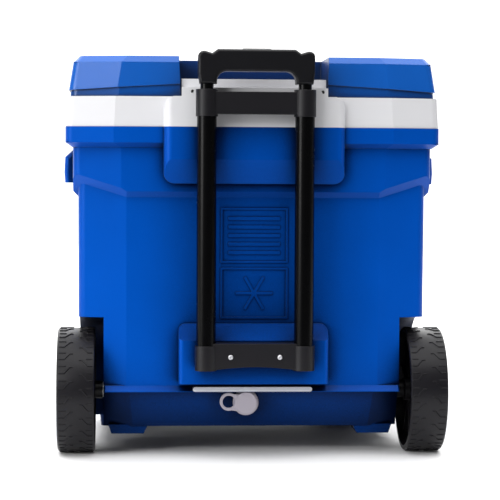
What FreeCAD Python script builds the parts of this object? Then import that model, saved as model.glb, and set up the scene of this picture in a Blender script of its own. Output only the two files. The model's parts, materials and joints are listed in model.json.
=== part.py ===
"""Hard cooler on two wheels with a telescoping pull handle.

Millimetres, +Z up.  +Y is the front of the cooler, -Y is the handle side.
The origin is on the ground, under the middle of the whole object.
"""
import math
import os

import FreeCAD
import Part

os.makedirs("parts", exist_ok=True)

# ---- driving dimensions -------------------------------------------------
SKIN = 2.5                 # thickness of the moulded outer skins
LINER_T = 2.2              # thickness of the inner liner

BASE_Z = 36.0              # underside of the base
LEDGE_LOW_Z = 84.7         # lower lip of the ledge above the base
LEDGE_TOP_Z = 92.5
CREASE_Z = 335.0           # where the upper wall starts to step out
CREASE_H = 7.6
CREASE_RISE = 38.0         # how far the crease climbs across a corner facet
RIM_Z = 405.0              # underside of the blue rim band
SEAM_Z = 425.3             # blue shell below, white band above
BAND_TOP_Z = 464.0         # top of the white band, the lid sits here
LID_GAP = 0.3
LID_TOP_Z = 516.0
CHANNEL_Z = 487.0          # floor of the channel in the lid behind the grip

WALL_HX = 225.0            # half widths
UPPER_HX = 232.0
RIM_HX = 241.5
BAND_HX = 240.3
LID_HX = 238.5
LID_TOP_HX = 231.5
WALL_BACK = -178.0
UPPER_BACK = -184.5
RIM_BACK = -194.0
BAND_BACK = -193.0
LID_BACK = -187.5
BASE_BACK = -170.0
BASE_LOW_BACK = -147.0      # the base wall leans in towards the ground
WALL_FRONT = 226.0
UPPER_FRONT = 230.0
RIM_FRONT = 236.0
BAND_FRONT = 235.0
LID_FRONT = 234.0
FACET_W = 62.0             # corner facets seen from the back, width and depth
FACET_D = 16.0
CORNER_R = 12.0

BLOCK_BACK = -206.0        # face of both handle blocks
UP_BLOCK_HX = 116.0
UP_BLOCK_Z = 353.0
UP_BLOCK_BREAK_Z = 384.0
LOW_BLOCK_HX = 96.0
LOW_BLOCK_Z = 97.0
LOW_BLOCK_TOP_Z = 173.0
LOW_BLOCK_BREAK_Z = 153.0

AXLE_Y = -126.0
AXLE_Z = 82.0
AXLE_R = 4.5
AXLE_END = 250.5
TUNNEL_R = 6.6             # moulded tube round the axle
WHEEL_R = 82.0
WHEEL_IN = 203.5           # inner and outer faces of the left and right wheel
WHEEL_OUT = 252.0
WELL_X = 192.0
WELL_R = 98.0

CAVITY_HX = 204.0
CAVITY_BACK = -152.0
CAVITY_FRONT = 204.0
CAVITY_FLOOR = 64.0
REAR_HX = 168.0            # the cavity narrows between the wheel wells
REAR_FRONT = -8.0
STEP_Z = 204.0             # top of the wheel well humps inside
HUMP_Z = 102.0             # top of the axle hump inside
HUMP_Y = -96.0

HINGE_Y = -190.0
HINGE_Z = 470.0
HINGE_X = 84.0
HINGE_PIN_R = 2.0
LID_HINGE_BACK = -181.0    # back of the lid where it clears the hinge block
LID_HINGE_HX = 93.0

TUBE_X = 62.15
TUBE_Y = -222.3
OUTER_R = 12.4
OUTER_IN_R = 11.2
MIDDLE_R = 10.3
MIDDLE_IN_R = 9.2
INNER_R = 8.4
INNER_IN_R = 7.4
RUN = 0.05                 # radial running clearance
COLLAR_R = 14.0

DRAIN_X = -8.0
DRAIN_Z = 69.6
DRAIN_R = 5.5
DRAIN_BORE = 4.0
CAP_R = 14.2

V = FreeCAD.Vector


# ---- helpers ------------------------------------------------------------
def box(x0, x1, y0, y1, z0, z1):
    return Part.makeBox(x1 - x0, y1 - y0, z1 - z0, V(x0, y0, z0))


def cyl_x(r, x0, x1, y, z):
    return Part.makeCylinder(r, x1 - x0, V(x0, y, z), V(1, 0, 0))


def cyl_y(r, y0, y1, x, z):
    return Part.makeCylinder(r, y1 - y0, V(x, y0, z), V(0, 1, 0))


def cyl_z(r, z0, z1, x, y):
    return Part.makeCylinder(r, z1 - z0, V(x, y, z0), V(0, 0, 1))


def ring_z(r_out, r_in, z0, z1, x, y):
    return cyl_z(r_out, z0, z1, x, y).cut(cyl_z(r_in, z0 - 1, z1 + 1, x, y))


def prism(points, direction):
    """Sweep a closed polygon of 3-D points along a vector."""
    wire = Part.makePolygon([V(*p) for p in points + points[:1]])
    return Part.Face(wire).extrude(V(*direction))


def prism_x(points, x0, x1):
    return prism([(x0, y, z) for y, z in points], (x1 - x0, 0, 0))


def prism_y(points, y0, y1):
    return prism([(x, y0, z) for x, z in points], (0, y1 - y0, 0))


def prism_z(points, z0, z1):
    return prism([(x, y, z0) for x, y in points], (0, 0, z1 - z0))


def mirror_x(shape):
    return shape.mirror(V(0, 0, 0), V(1, 0, 0))


def both(shape):
    return shape.fuse(mirror_x(shape))


def fuse_all(shapes):
    first = shapes[0]
    return first.multiFuse(shapes[1:]) if len(shapes) > 1 else first


def round_edges(shape, radius, pick):
    """Fillet the edges whose centre and direction satisfy pick."""
    edges = []
    for edge in shape.Edges:
        start, end = edge.Vertexes[0].Point, edge.Vertexes[-1].Point
        if pick(edge.CenterOfMass, end - start):
            edges.append(edge)
    return shape.makeFillet(radius, edges)


def upright(along):
    return abs(along.z) > 0.3 * along.Length and along.Length > 1


def plan(hx, back, front, z):
    """Plan section with a shallow facet across each corner."""
    points = [
        (-hx + FACET_W, back), (hx - FACET_W, back),
        (hx, back + FACET_D), (hx, front - FACET_D),
        (hx - FACET_W, front), (-hx + FACET_W, front),
        (-hx, front - FACET_D), (-hx, back + FACET_D),
    ]
    return Part.makePolygon([V(x, y, z) for x, y in points + points[:1]])


def slab(low, high, t=0.0, radius=CORNER_R):
    """Faceted block between two sections (hx, back, front, z), inset by t."""
    wires = [plan(hx - t, back + t, front - t, z) for hx, back, front, z in (low, high)]
    solid = Part.makeLoft(wires, True, True)
    limit = min(low[0], high[0]) - t - 8
    return round_edges(solid, radius - 0.5 * t, lambda c, a: upright(a) and abs(c.x) > limit)


def save(name, shape):
    solids = shape.Solids
    out = solids[0] if len(solids) == 1 else Part.makeCompound(solids)
    out = out.removeSplitter()
    assert out.isValid(), name
    out.exportStep(f"parts/{name}.step")
    print(f"{name:24s} solids {len(out.Solids)}  volume {out.Volume / 1000:9.2f} cm3")


# ---- the body volume, inset by t for the foam space ----------------------
def well(t):
    """Room for the right wheel, open to the outside, the back and below."""
    x0, r = WELL_X - t, WELL_R + t
    low = box(x0, 280, -280, AXLE_Y, -1, AXLE_Z + r)
    front = box(x0, 280, AXLE_Y, AXLE_Y + r, -1, AXLE_Z)
    return fuse_all([low, front, cyl_x(r, x0, 280, AXLE_Y, AXLE_Z)])


def upper_wall(t):
    """The upper wall stands proud of the lower one above a crease."""
    top = SEAM_Z
    chamfer = slab((WALL_HX, WALL_BACK, WALL_FRONT, CREASE_Z + t),
                   (UPPER_HX, UPPER_BACK, UPPER_FRONT, CREASE_Z + CREASE_H + t), t)
    wall = slab((UPPER_HX, UPPER_BACK, UPPER_FRONT, CREASE_Z + CREASE_H + t),
                (UPPER_HX, UPPER_BACK, UPPER_FRONT, top), t)
    solid = chamfer.fuse(wall)
    x0 = WALL_HX - FACET_W
    slope = CREASE_RISE / FACET_W
    lean = CREASE_H / (WALL_BACK - UPPER_BACK)
    for side in (-1, 1):
        for sign, face in ((-1, WALL_BACK), (1, WALL_FRONT)):
            inset = face - sign * (t + 60)
            drop = 60 * lean
            profile = [(side * x0, CREASE_Z + t - drop), (side * (x0 + 90), CREASE_Z + t - drop + 90 * slope),
                       (side * (x0 + 90), 150), (side * x0, 150)]
            solid = solid.cut(prism([(x, inset, z) for x, z in profile], (0, sign * 90, 90 * lean)))
    return solid


def rim(t):
    chamfer = slab((UPPER_HX + 1, UPPER_BACK - 1, UPPER_FRONT + 1, RIM_Z - 6 + t),
                   (RIM_HX, RIM_BACK, RIM_FRONT, RIM_Z + t), t)
    band = slab((RIM_HX, RIM_BACK, RIM_FRONT, RIM_Z + t), (RIM_HX, RIM_BACK, RIM_FRONT, SEAM_Z), t)
    return chamfer.fuse(band)


def upper_block(t):
    x = UP_BLOCK_HX - t
    profile = [(BLOCK_BACK + t, SEAM_Z), (BLOCK_BACK + t, UP_BLOCK_BREAK_Z + 0.4 * t),
               (BLOCK_BACK + 12 + t, UP_BLOCK_Z + t), (-150, UP_BLOCK_Z + t), (-150, SEAM_Z)]
    outline = box(-x, x, -260, -100, UP_BLOCK_Z + t - 0.001, SEAM_Z)
    outline = round_edges(outline, 14 - t, lambda c, a: abs(c.x) > x - 1 and c.z < UP_BLOCK_Z + t + 1)
    solid = prism_x(profile, -x, x)
    solid = round_edges(solid, 11 - t, lambda c, a: c.y < -203 and abs(c.x) > x - 1 and upright(a))
    return solid.common(outline)


def lower_block(t):
    x = LOW_BLOCK_HX - t
    profile = [(BLOCK_BACK + t, LOW_BLOCK_BREAK_Z - 0.4 * t), (BLOCK_BACK + t, LOW_BLOCK_Z + t),
               (-150, LOW_BLOCK_Z + t), (-150, LOW_BLOCK_TOP_Z - t), (WALL_BACK - 3, LOW_BLOCK_TOP_Z - t)]
    outline = box(-x, x, -260, -100, LOW_BLOCK_Z + t, LOW_BLOCK_TOP_Z - t + 0.001)
    outline = round_edges(outline, 9 - t, lambda c, a: abs(c.x) > x - 1 and c.z > LOW_BLOCK_TOP_Z - t - 1)
    solid = prism_x(profile, -x, x)
    solid = round_edges(solid, 6 - t, lambda c, a: c.y < -203 and abs(c.x) > x - 1 and upright(a))
    return solid.common(outline)


def front_foot(t):
    x0, x1, y0, y1 = 108 + t, 204 - t, 122 + t, 214 - t
    low = [(x0 + 5, y0 + 5), (x1 - 5, y0 + 5), (x1 - 5, y1 - 5), (x0 + 5, y1 - 5)]
    high = [(x0, y0), (x1, y0), (x1, y1), (x0, y1)]
    wires = []
    for points, z in ((low, 0.0 + t), (high, BASE_Z + 4)):
        wires.append(Part.makePolygon([V(x, y, z) for x, y in points + points[:1]]))
    foot = Part.makeLoft(wires, True, True)
    return round_edges(foot, 8, lambda c, a: abs(a.z) > 20)


def body_volume(t):
    low = slab((WALL_HX - 9, BASE_LOW_BACK, WALL_FRONT - 6, BASE_Z + t),
               (WALL_HX - 3.8, BASE_BACK + 0.8, WALL_FRONT - 3.8, LEDGE_LOW_Z + t + 4), t)
    base = slab((WALL_HX - 3, BASE_BACK, WALL_FRONT - 3, LEDGE_LOW_Z + t),
                (WALL_HX - 3, BASE_BACK, WALL_FRONT - 3, 130), t)
    wall = slab((WALL_HX - 0.5, WALL_BACK, WALL_FRONT - 0.5, LEDGE_TOP_Z - 3 + t),
                (WALL_HX + 0.5, WALL_BACK, WALL_FRONT + 0.5, SEAM_Z), t)
    blocks = [low, base, wall, upper_wall(t), rim(t), upper_block(t), lower_block(t), both(front_foot(t))]
    return fuse_all(blocks).cut(both(well(t)))


def cavity(t):
    """The cold space, grown by t."""
    top = 520.0
    parts = [
        box(-CAVITY_HX - t, CAVITY_HX + t, CAVITY_BACK - t, CAVITY_FRONT + t, STEP_Z - t, top),
        box(-CAVITY_HX - t, CAVITY_HX + t, REAR_FRONT - t, CAVITY_FRONT + t, CAVITY_FLOOR - t, top),
        box(-REAR_HX - t, REAR_HX + t, CAVITY_BACK - t, CAVITY_FRONT, HUMP_Z - t, top),
        box(-REAR_HX - t, REAR_HX + t, HUMP_Y - t, CAVITY_FRONT, CAVITY_FLOOR - t, top),
    ]
    solid = fuse_all(parts).removeSplitter()
    return round_edges(solid, 14 + t, lambda c, a: upright(a) and abs(c.x) > CAVITY_HX - 5
                       and (c.y > CAVITY_FRONT - 5 or c.y < CAVITY_BACK + 5))


# ---- outer shell ----------------------------------------------------------
STRIP_HX = 77.0            # bright strip set in the ledge
STRIP_W = 5.8
STRIP_PROUD = 0.8
STRIP_DEEP = 3.5
STRIP_LEAN = 15.0
STRIP_Z = 88.0


def ledge_strip():
    """Plated strip let into the slope of the ledge, facing back and slightly up."""
    strip = box(-STRIP_HX, STRIP_HX, -STRIP_PROUD, STRIP_DEEP, -STRIP_W / 2, STRIP_W / 2)
    strip = round_edges(strip, 2.6, lambda c, a: abs(c.x) > STRIP_HX - 0.1 and abs(a.y) > 1)
    strip.rotate(V(0, 0, 0), V(1, 0, 0), -STRIP_LEAN)
    strip.translate(V(0, WALL_BACK - 6.6, STRIP_Z))
    return strip


def ledge():
    """Sloped drip ledge across the back, over the base."""
    profile = [(WALL_BACK + 10, LEDGE_TOP_Z), (WALL_BACK, LEDGE_TOP_Z), (WALL_BACK - 7, LEDGE_LOW_Z + 1),
               (WALL_BACK - 7, LEDGE_LOW_Z), (WALL_BACK + 10, LEDGE_LOW_Z)]
    solid = prism_x(profile, -WELL_X, WELL_X)
    return round_edges(solid, 3.0, lambda c, a: c.y < WALL_BACK and abs(c.x) > WELL_X - 1 and abs(a.y) > 1)


LUG_Y0, LUG_Y1 = -104.0, 146.0
LUG_Z0, LUG_Z1 = 353.0, 397.0
LUG_HX = 245.0


def side_lug():
    """Moulded side grip with a finger pocket open below."""
    profile = [(220, LUG_Z0), (LUG_HX - 1, LUG_Z0), (LUG_HX, LUG_Z0 + 14), (LUG_HX - 1, LUG_Z1 - 10),
               (UPPER_HX + 1, LUG_Z1), (220, LUG_Z1)]
    solid = prism_y(profile, LUG_Y0, LUG_Y1)
    return round_edges(solid, 6, lambda c, a: c.x > UPPER_HX + 1 and (c.y < LUG_Y0 + 1 or c.y > LUG_Y1 - 1))


LUG_POCKET = (226.0, 240.5, LUG_Y0 + 14, LUG_Y1 - 14, LUG_Z0 - 5, LUG_Z1 - 14)
LUG_BACK = (223.5, UPPER_HX - 1, LUG_Y0 + 11, LUG_Y1 - 11, LUG_Z0 - 8, LUG_Z1 - 11)


def rear_foot():
    points = [(134, BASE_Z + 2), (140, 26), (182, 26), (186, BASE_Z + 2)]
    return prism_y(points, BASE_LOW_BACK + 1, BASE_LOW_BACK + 52)


LOW_SCREW_X = 31.2
LOW_SCREW_Z = 134.0
STUD_X = 30.0
STUD_Z = 455.0


def panel_relief():
    """Two framed pads on the back wall, with plain slats and a plain star."""
    y0, y1 = WALL_BACK - 1.2, WALL_BACK + 1.0
    parts = []
    for x0, x1, z0, z1 in ((-42, 45, 251, 322), (-42, 45, 179, 245)):
        frame = box(x0, x1, y0, y1, z0, z1).cut(box(x0 + 2.5, x1 - 2.5, y0 - 1, y1 + 1, z0 + 2.5, z1 - 2.5))
        parts.append(frame)
    for k in range(5):
        z = 262 + 11 * k
        parts.append(box(-32, 35, y0, y1, z, z + 4.5))
    cx, cz = 1.5, 212.0
    for k in range(3):
        arm = box(-24, 24, y0, y1, -1.8, 1.8)
        arm.rotate(V(0, 0, 0), V(0, 1, 0), 60 * k)
        arm.translate(V(cx, 0, cz))
        parts.append(arm)
    return parts


def outer_shell():
    solid = body_volume(0.0)
    lug = side_lug()
    solid = fuse_all([solid, lug, mirror_x(lug), ledge(), rear_foot(), mirror_x(rear_foot())])
    pocket = box(*LUG_POCKET)
    solid = solid.cut(both(pocket))
    solid = solid.cut(body_volume(SKIN))
    lug_back = box(*LUG_BACK)
    extra = [lug_back, mirror_x(lug_back), cyl_x(TUNNEL_R, -WELL_X, WELL_X, AXLE_Y, AXLE_Z)]
    for side in (-1, 1):
        extra.append(cyl_y(5.5, BLOCK_BACK + 1, BLOCK_BACK + 16, side * LOW_SCREW_X, LOW_SCREW_Z))
    solid = fuse_all([solid] + extra + panel_relief())
    solid = solid.cut(ledge_strip())
    solid = solid.cut(cyl_x(AXLE_R + 0.1, -280, 280, AXLE_Y, AXLE_Z))
    solid = solid.cut(cyl_y(DRAIN_R + 0.05, -230, -145, DRAIN_X, DRAIN_Z))
    for side in (-1, 1):
        solid = solid.cut(cyl_y(2.1, BLOCK_BACK - 1, BLOCK_BACK + 14, side * LOW_SCREW_X, LOW_SCREW_Z))
    return solid


# ---- white liner, band and hinge block -------------------------------------
def band_volume(t):
    band = slab((BAND_HX + 0.7, BAND_BACK, BAND_FRONT, SEAM_Z), (BAND_HX - 1.3, BAND_BACK + 1, BAND_FRONT - 1,
                BAND_TOP_Z - t), t)
    x = UP_BLOCK_HX - t
    top = BAND_TOP_Z - t
    block = prism_y([(-x, SEAM_Z), (x, SEAM_Z), (x, top - 14), (x - 4, top - 4), (x - 12, top),
                     (-x + 12, top), (-x + 4, top - 4), (-x, top - 14)], BLOCK_BACK + t, -170)
    block = round_edges(block, 11 - t, lambda c, a: upright(a) and abs(c.x) > x - 0.5 and c.y < -180)
    return band.fuse(block)


def hinge_upstand():
    """Low wall that hides the hinge line, and two lugs at each lid arm."""
    top = 475.0
    wall = box(-LID_HINGE_HX, LID_HINGE_HX, BLOCK_BACK, BLOCK_BACK + 8.6, BAND_TOP_Z - 6, top)
    parts = [wall]
    for side in (-1, 1):
        for x in (HINGE_X - 8.0, HINGE_X + 3.1):
            lug = cyl_x(5.4, x, x + 4.9, HINGE_Y, HINGE_Z)
            lug = lug.fuse(box(x, x + 4.9, HINGE_Y - 9, HINGE_Y + 5.4, BAND_TOP_Z - 3, HINGE_Z))
            parts.append(lug if side > 0 else mirror_x(lug))
    return fuse_all(parts)


def inner_liner():
    """Stepped tub that holds the food, open at the top."""
    tub = cavity(LINER_T).common(box(-400, 400, -400, 400, 0, BAND_TOP_Z))
    solid = tub.cut(cavity(0.0))
    return solid.cut(cyl_y(DRAIN_R + 0.05, -120, HUMP_Y + 5, DRAIN_X, DRAIN_Z))


def top_band():
    """White collar round the tub, with the block that carries hinge and handle."""
    solid = band_volume(0.0).cut(band_volume(SKIN)).fuse(hinge_upstand())
    solid = solid.cut(cavity(LINER_T))
    for side in (-1, 1):
        solid = solid.cut(cyl_x(HINGE_PIN_R, side * HINGE_X - 9, side * HINGE_X + 9, HINGE_Y, HINGE_Z))
        solid = solid.cut(cyl_y(4.05, -230, -190, side * STUD_X, STUD_Z))
    return solid


def foam_insulation():
    solid = body_volume(SKIN).fuse(band_volume(SKIN))
    cuts = [cavity(LINER_T), cyl_x(TUNNEL_R, -WELL_X, WELL_X, AXLE_Y, AXLE_Z), hinge_upstand(),
            cyl_y(DRAIN_R, -230, HUMP_Y, DRAIN_X, DRAIN_Z)]
    for side in (-1, 1):
        lug_back = box(*LUG_BACK)
        cuts.append(lug_back if side > 0 else mirror_x(lug_back))
        cuts.append(cyl_y(5.5, BLOCK_BACK - 5, BLOCK_BACK + 16, side * LOW_SCREW_X, LOW_SCREW_Z))
        cuts.append(cyl_y(4.2, -230, -190, side * STUD_X, STUD_Z))
    return solid.cut(fuse_all(cuts))


# ---- lid --------------------------------------------------------------------
LID_Z0 = BAND_TOP_Z + LID_GAP
CHANNEL_HX = 95.0
CHANNEL_FRONT = -85.0
LID_STEP_Z0 = 470.5        # the lid face steps back below a slanting crease
LID_STEP_Z1 = 479.0
LID_STEP_IN = 3.0


def lid_volume(t):
    mid = LID_TOP_Z - 8.0
    z_bottom = LID_Z0 if t == 0 else LID_Z0 - 1
    solid = slab((LID_HX, LID_BACK, LID_FRONT, z_bottom), (LID_TOP_HX, LID_BACK + 2, LID_FRONT - 4, mid), t)
    slope = (LID_STEP_Z1 - LID_STEP_Z0) / (LID_HX - CHANNEL_HX)
    rise = LID_STEP_Z0 + t + slope * 260
    under = [(-260, 430), (260, 430), (260, rise - slope * 260), (0, rise), (-260, rise - slope * 260)]
    solid = solid.cut(prism_y(under, -300, 300))
    inset = LID_STEP_IN
    skirt = slab((LID_HX - inset, LID_BACK + inset, LID_FRONT - inset, z_bottom),
                 (LID_HX - 5.2, LID_BACK + 2.0, LID_FRONT - 4, 490), t)
    solid = solid.fuse(skirt)
    crown = slab((LID_TOP_HX, LID_BACK + 2, LID_FRONT - 4, mid),
                 (LID_TOP_HX - 8, LID_BACK + 7, LID_FRONT - 10, LID_TOP_Z - t), t)
    solid = solid.fuse(crown)
    lip = [(-CHANNEL_HX - t, CHANNEL_Z - t), (CHANNEL_HX + t, CHANNEL_Z - t),
           (CHANNEL_HX + t + 2, 530), (-CHANNEL_HX - t - 2, 530)]
    channel = prism_y(lip, -300, CHANNEL_FRONT + t)
    behind = box(-CHANNEL_HX - t, CHANNEL_HX + t, -300, LID_HINGE_BACK + t, 440, 530)
    return solid.cut(channel).cut(behind)


def lid_shell():
    solid = lid_volume(0.0).cut(lid_volume(SKIN))
    white = box(-LID_HINGE_HX, LID_HINGE_HX, -200, LID_HINGE_BACK + SKIN, 450, CHANNEL_Z)
    return solid.cut(white)


PAN_HX = 201.0
PAN_BACK = -149.0
PAN_FRONT = 201.0
PAN_Z = 452.0


def lid_liner():
    plate = lid_volume(SKIN).common(box(-300, 300, -300, 300, LID_Z0, LID_Z0 + LINER_T))
    pan = box(-PAN_HX, PAN_HX, PAN_BACK, PAN_FRONT, PAN_Z, LID_Z0 + 0.5)
    pan = round_edges(pan, 12, lambda c, a: upright(a))
    t = LINER_T
    hollow = box(-PAN_HX + t, PAN_HX - t, PAN_BACK + t, PAN_FRONT - t, PAN_Z + t, LID_Z0 + 5)
    hollow = round_edges(hollow, 10, lambda c, a: upright(a))
    face = box(-LID_HINGE_HX, LID_HINGE_HX, LID_HINGE_BACK, LID_HINGE_BACK + SKIN, LID_Z0, CHANNEL_Z)
    solid = fuse_all([plate, pan, face]).cut(hollow)
    for side in (-1, 1):
        x0 = side * HINGE_X - 2.8
        arm = cyl_x(5.2, x0, x0 + 5.6, HINGE_Y, HINGE_Z)
        arm = arm.fuse(box(x0, x0 + 5.6, HINGE_Y, LID_HINGE_BACK + 1, HINGE_Z - 4.5, HINGE_Z + 5.2))
        solid = solid.fuse(arm).cut(cyl_x(HINGE_PIN_R + RUN, x0 - 1, x0 + 7, HINGE_Y, HINGE_Z))
    return solid


def lid_foam():
    solid = lid_volume(SKIN).common(box(-300, 300, -300, 300, LID_Z0 + LINER_T, 600))
    t = LINER_T
    core = box(-PAN_HX + t, PAN_HX - t, PAN_BACK + t, PAN_FRONT - t, PAN_Z + t, LID_Z0 + 5)
    core = round_edges(core, 10, lambda c, a: upright(a))
    solid = solid.fuse(core)
    white = box(-LID_HINGE_HX, LID_HINGE_HX, -200, LID_HINGE_BACK + SKIN, 450, CHANNEL_Z)
    return solid.cut(white)


def hinge_pin(side):
    return cyl_x(HINGE_PIN_R, side * HINGE_X - 8.0, side * HINGE_X + 8.0, HINGE_Y, HINGE_Z)


# ---- drain --------------------------------------------------------------------
def drain_spout():
    """Tube under the axle, with a flange inside the cavity and one outside."""
    solid = cyl_y(DRAIN_R, BASE_BACK - 2.6, HUMP_Y + 2, DRAIN_X, DRAIN_Z)
    outside = cyl_y(16.5, BASE_BACK - 2.6, -140, DRAIN_X, DRAIN_Z)
    outside = outside.common(box(-60, 60, -200, -140, 50, LEDGE_LOW_Z - 0.2))
    outside = outside.cut(body_volume(0.0).common(box(-40, 20, -200, -120, 30, 95)))
    inside = cyl_y(5.5 + 2.5, HUMP_Y, HUMP_Y + 2, DRAIN_X, DRAIN_Z)
    inside = inside.common(box(-60, 60, -200, 0, CAVITY_FLOOR, 100))
    solid = fuse_all([solid, outside, inside])
    return solid.cut(cyl_y(DRAIN_BORE, -230, 0, DRAIN_X, DRAIN_Z))


def drain_plug():
    """Cap with a pull ring at the side and a stem in the spout."""
    y1 = BASE_BACK - 3.0
    y0 = y1 - 7.0
    cap = cyl_y(CAP_R, y0, y1, DRAIN_X, DRAIN_Z)
    ring_x, ring_z = DRAIN_X - 22.4, DRAIN_Z + 1.6
    ring = cyl_y(11.6, y0 + 1.5, y1 - 1.5, ring_x, ring_z)
    bridge = prism_y([(DRAIN_X - 6, DRAIN_Z + 11), (ring_x, ring_z + 10), (ring_x, ring_z - 10.5),
                      (DRAIN_X - 6, DRAIN_Z - 11.5)], y0 + 1.5, y1 - 1.5)
    hole = cyl_y(8.0, y0 - 1, y1 + 1, ring_x, ring_z)
    stem = cyl_y(DRAIN_BORE - RUN, y1 - 1, y1 + 16, DRAIN_X, DRAIN_Z)
    return fuse_all([cap, ring, bridge]).cut(hole).fuse(stem)


# ---- axle and wheels ------------------------------------------------------------
def axle():
    return cyl_x(AXLE_R, -AXLE_END, AXLE_END, AXLE_Y, AXLE_Z)


HUB_R = 19.0
RIM_T = 7.0


def wheel():
    """Hollow moulded wheel, open on the body side, ribbed web outside."""
    x0, x1 = WHEEL_IN, WHEEL_OUT
    profile = [(x0, WHEEL_R - RIM_T), (x0, WHEEL_R - 1.2), (x0 + 2.5, WHEEL_R), (x1 - 3, WHEEL_R),
               (x1 - 1, WHEEL_R - 1.4), (x1, WHEEL_R - 5), (x1, WHEEL_R - 12), (x1 - 6, WHEEL_R - 18),
               (x1 - 8, 26), (x1 - 3, 21), (x1 - 3, AXLE_R + RUN), (WELL_X + 1.6, AXLE_R + RUN),
               (WELL_X + 1.6, 11.5), (x0, 11.5), (x0 + 2, HUB_R - 4), (x1 - 12, HUB_R - 3),
               (x1 - 12, WHEEL_R - 18), (x1 - 10, WHEEL_R - RIM_T - 3)]
    points = [V(x, AXLE_Y, AXLE_Z + r) for x, r in profile]
    face = Part.Face(Part.makePolygon(points + points[:1]))
    solid = face.revolve(V(0, AXLE_Y, AXLE_Z), V(1, 0, 0), 360)
    ribs = []
    for k in range(10):
        rib = box(x0 + 8, x1 - 9, AXLE_Y - 1.6, AXLE_Y + 1.6, AXLE_Z + HUB_R - 5, AXLE_Z + WHEEL_R - RIM_T + 2)
        rib.rotate(V(0, AXLE_Y, AXLE_Z), V(1, 0, 0), 36 * k)
        ribs.append(rib)
    return fuse_all([solid] + ribs)


def washer():
    return cyl_x(10, WELL_X + 0.1, WELL_X + 1.4, AXLE_Y, AXLE_Z).cut(
        cyl_x(AXLE_R, WELL_X - 1, WELL_X + 3, AXLE_Y, AXLE_Z))


def push_nut():
    """Domed press-on retainer at the end of the axle."""
    x = WHEEL_OUT - 2.9
    nut = cyl_x(9, x, x + 1.5, AXLE_Y, AXLE_Z).fuse(cyl_x(6.5, x, x + 3.2, AXLE_Y, AXLE_Z))
    return nut.cut(cyl_x(AXLE_R, x - 3, AXLE_END, AXLE_Y, AXLE_Z))


# ---- handle -----------------------------------------------------------------------
UP_BR_Z0, UP_BR_Z1 = 438.0, 472.0
LOW_BR_Z0, LOW_BR_Z1 = 116.5, 153.0
OUTER_Z0, OUTER_Z1 = 119.5, 468.5
MIDDLE_Z0, MIDDLE_Z1 = 132.0, 471.5
INNER_Z0, INNER_Z1 = 146.0, 500.0


def upper_bracket():
    parts = [box(-TUBE_X, TUBE_X, TUBE_Y - 9, TUBE_Y + 9, UP_BR_Z0 + 3, UP_BR_Z1 - 3)]
    for side in (-1, 1):
        x = side * TUBE_X
        parts.append(cyl_z(COLLAR_R, UP_BR_Z0, UP_BR_Z1, x, TUBE_Y))
        parts.append(box(x - 7, x + 7, TUBE_Y, BLOCK_BACK, UP_BR_Z0 + 3, UP_BR_Z1 - 3))
        parts.append(cyl_y(4.0, TUBE_Y, BLOCK_BACK + 9, side * STUD_X, STUD_Z))
        parts.append(cyl_y(8.0, TUBE_Y, BLOCK_BACK, side * STUD_X, STUD_Z))
    parts.append(box(-TUBE_X, TUBE_X, TUBE_Y, BLOCK_BACK, UP_BR_Z0 + 12, UP_BR_Z0 + 15))
    solid = fuse_all(parts)
    for side in (-1, 1):
        x = side * TUBE_X
        solid = solid.cut(cyl_z(OUTER_R, UP_BR_Z0 - 1, OUTER_Z1, x, TUBE_Y))
        solid = solid.cut(cyl_z(MIDDLE_R + 0.3, OUTER_Z1 - 1, UP_BR_Z1 + 1, x, TUBE_Y))
    return solid


def lower_bracket():
    arch = [(-TUBE_X, LOW_BR_Z1 - 2), (TUBE_X, LOW_BR_Z1 - 2)]
    n = 12
    for k in range(n + 1):
        x = TUBE_X - 2 * TUBE_X * k / n
        arch.append((x, LOW_BR_Z0 + 5.0 * math.cos(0.5 * math.pi * x / TUBE_X)))
    parts = [prism_y(arch, TUBE_Y - 9, BLOCK_BACK)]
    for side in (-1, 1):
        x = side * TUBE_X
        parts.append(cyl_z(COLLAR_R, LOW_BR_Z0, LOW_BR_Z1 - 5, x, TUBE_Y))
        parts.append(box(x - 9, x + 9, TUBE_Y, BLOCK_BACK, LOW_BR_Z0 + 2, LOW_BR_Z1 - 7))
    solid = fuse_all(parts)
    for side in (-1, 1):
        x = side * TUBE_X
        solid = solid.cut(cyl_z(OUTER_R, OUTER_Z0, LOW_BR_Z1 + 1, x, TUBE_Y))
        solid = solid.cut(cyl_y(2.3, -260, -190, side * LOW_SCREW_X, LOW_SCREW_Z))
    return solid


def lower_screw(side):
    """Pan head screw with a round driver recess."""
    x, z = side * LOW_SCREW_X, LOW_SCREW_Z
    y = TUBE_Y - 9
    head = cyl_y(3.2, y - 2.2, y, x, z)
    shank = cyl_y(2.05, y - 0.5, BLOCK_BACK + 13, x, z)
    recess = cyl_y(1.2, y - 3, y - 0.8, x, z)
    return head.fuse(shank).cut(recess)


def tube(side, r_out, r_in, z0, z1):
    return ring_z(r_out, r_in, z0, z1, side * TUBE_X, TUBE_Y)


def outer_bush(side):
    """Guide ring pressed in the top of the outer tube."""
    return tube(side, OUTER_IN_R, MIDDLE_R + RUN, OUTER_Z1 - 26, OUTER_Z1)


def middle_bush(side):
    return tube(side, MIDDLE_IN_R, INNER_R + RUN, MIDDLE_Z1 - 24, MIDDLE_Z1)


def middle_slider(side):
    """Plug at the foot of the middle tube that runs in the outer tube."""
    x = side * TUBE_X
    collar = cyl_z(OUTER_IN_R - RUN, MIDDLE_Z0 - 10, MIDDLE_Z0, x, TUBE_Y)
    spigot = cyl_z(MIDDLE_IN_R, MIDDLE_Z0 - 1, MIDDLE_Z0 + 6, x, TUBE_Y)
    return collar.fuse(spigot)


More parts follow.
